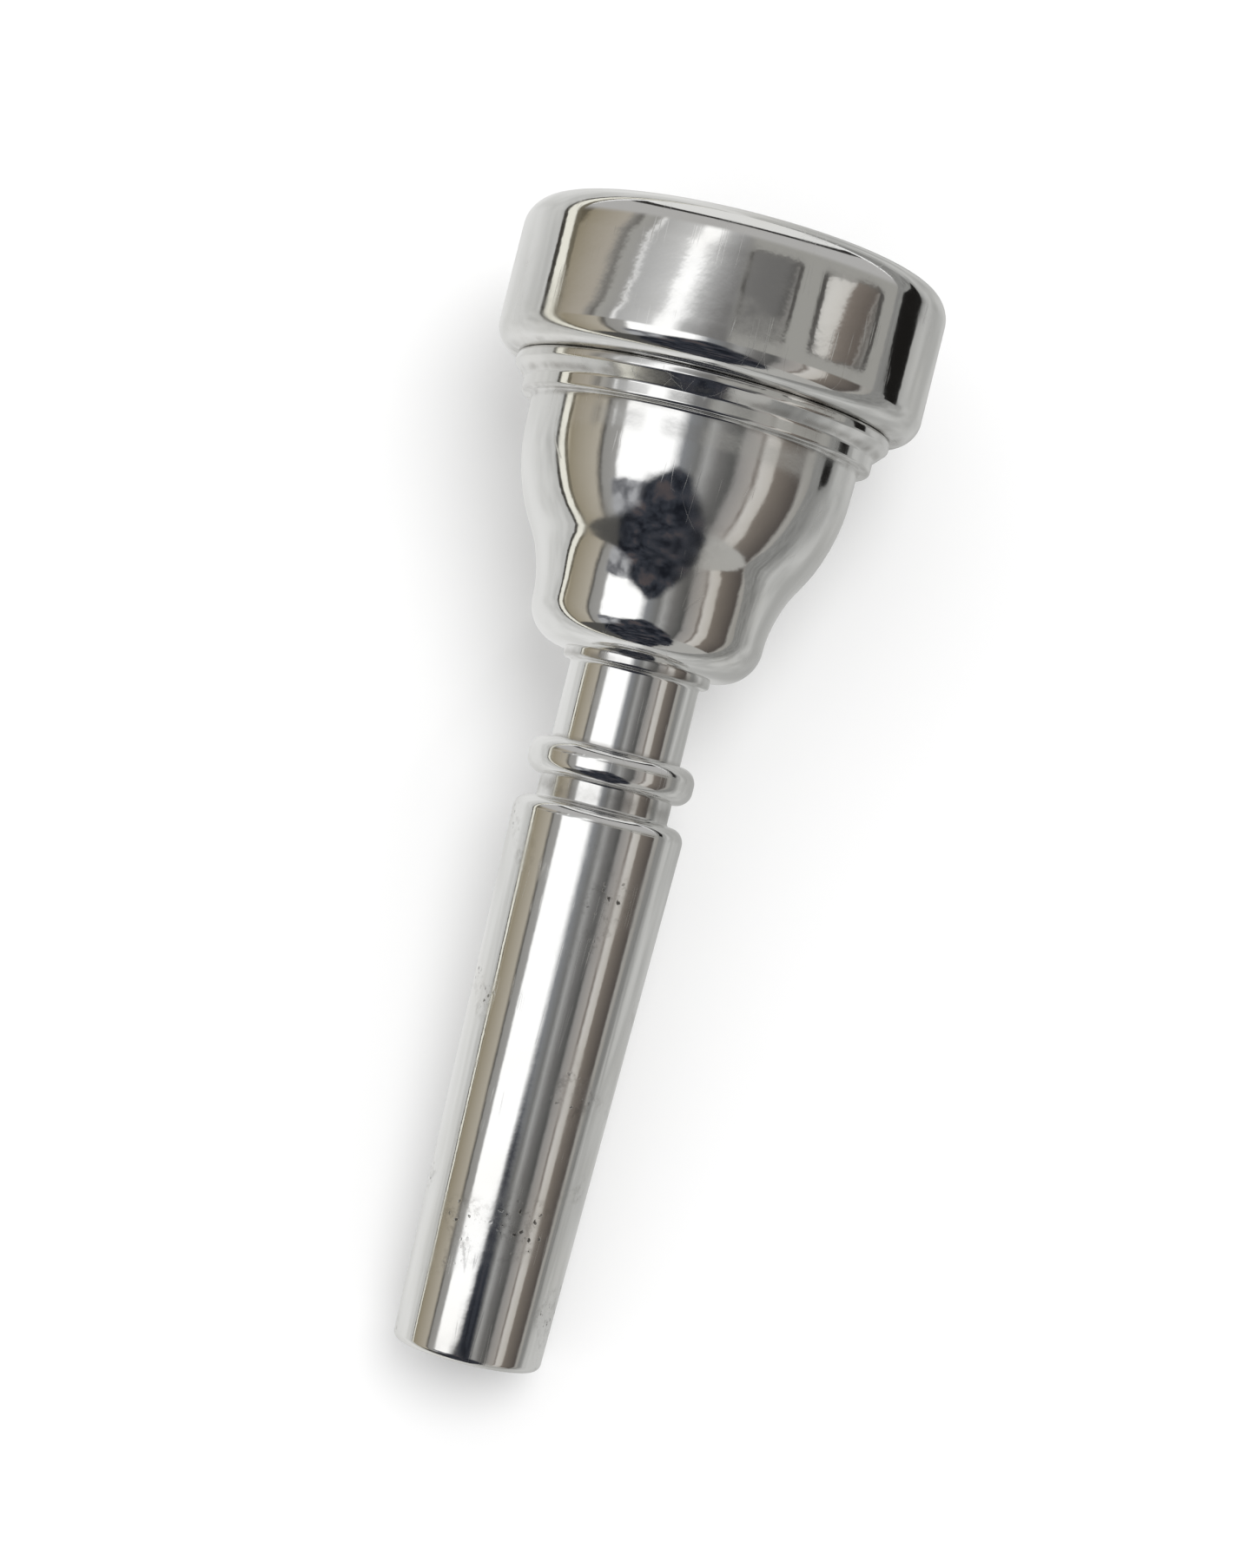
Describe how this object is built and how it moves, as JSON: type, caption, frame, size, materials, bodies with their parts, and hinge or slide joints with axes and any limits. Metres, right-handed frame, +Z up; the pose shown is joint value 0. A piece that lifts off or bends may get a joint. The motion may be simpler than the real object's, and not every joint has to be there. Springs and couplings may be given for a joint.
{
  "type": "brass instrument mouthpiece",
  "caption": "Silver-plated brass mouthpiece: a screw-on rim, a cup with bowl and throat, and a tapered shank with backbore, sealed by rubber rings.",
  "frame": {"origin": "on the table under the middle of the mouthpiece's length, level with the lowest point of the rim", "axes": "+Y along the bore from the rim to the tip of the shank, +Z up, +X to the right of someone who looks along +Y"},
  "size_m": [0.0282, 0.0738, 0.0282],
  "materials": {
    "silver_plate": "silver plated and mirror polished, lightly worn",
    "seal_rubber": "matte moulded rubber"
  },
  "bodies": {
    "cup": {"cup": "silver_plate"},
    "rim_seal": {"rim_seal": "seal_rubber"},
    "rim": {"rim": "silver_plate"},
    "shank_seal": {"shank_seal": "seal_rubber"},
    "shank": {"shank": "silver_plate"}
  },
  "joints": [
    {"name": "rim_lift", "type": "slide", "parent": "cup", "child": "rim_seal", "axis": [0, -1, 0], "range_m": [0, 0.004]},
    {"name": "rim_turn", "type": "hinge", "parent": "rim_seal", "child": "rim", "pos_m": [0, -0.03, 0.01408], "axis": [0, -1, 0], "range_deg": [0, 1440]},
    {"name": "shank_draw", "type": "slide", "parent": "cup", "child": "shank_seal", "axis": [0, 1, 0], "range_m": [0, 0.00375]},
    {"name": "shank_turn", "type": "hinge", "parent": "shank_seal", "child": "shank", "pos_m": [0, -0.004, 0.01408], "axis": [0, 1, 0], "range_deg": [0, 1800]}
  ],
  "couplings": [
    {"joint": "rim_turn", "follows": "rim_lift", "rad_per_m": 6283.2},
    {"joint": "shank_turn", "follows": "shank_draw", "rad_per_m": 8377.6}
  ]
}
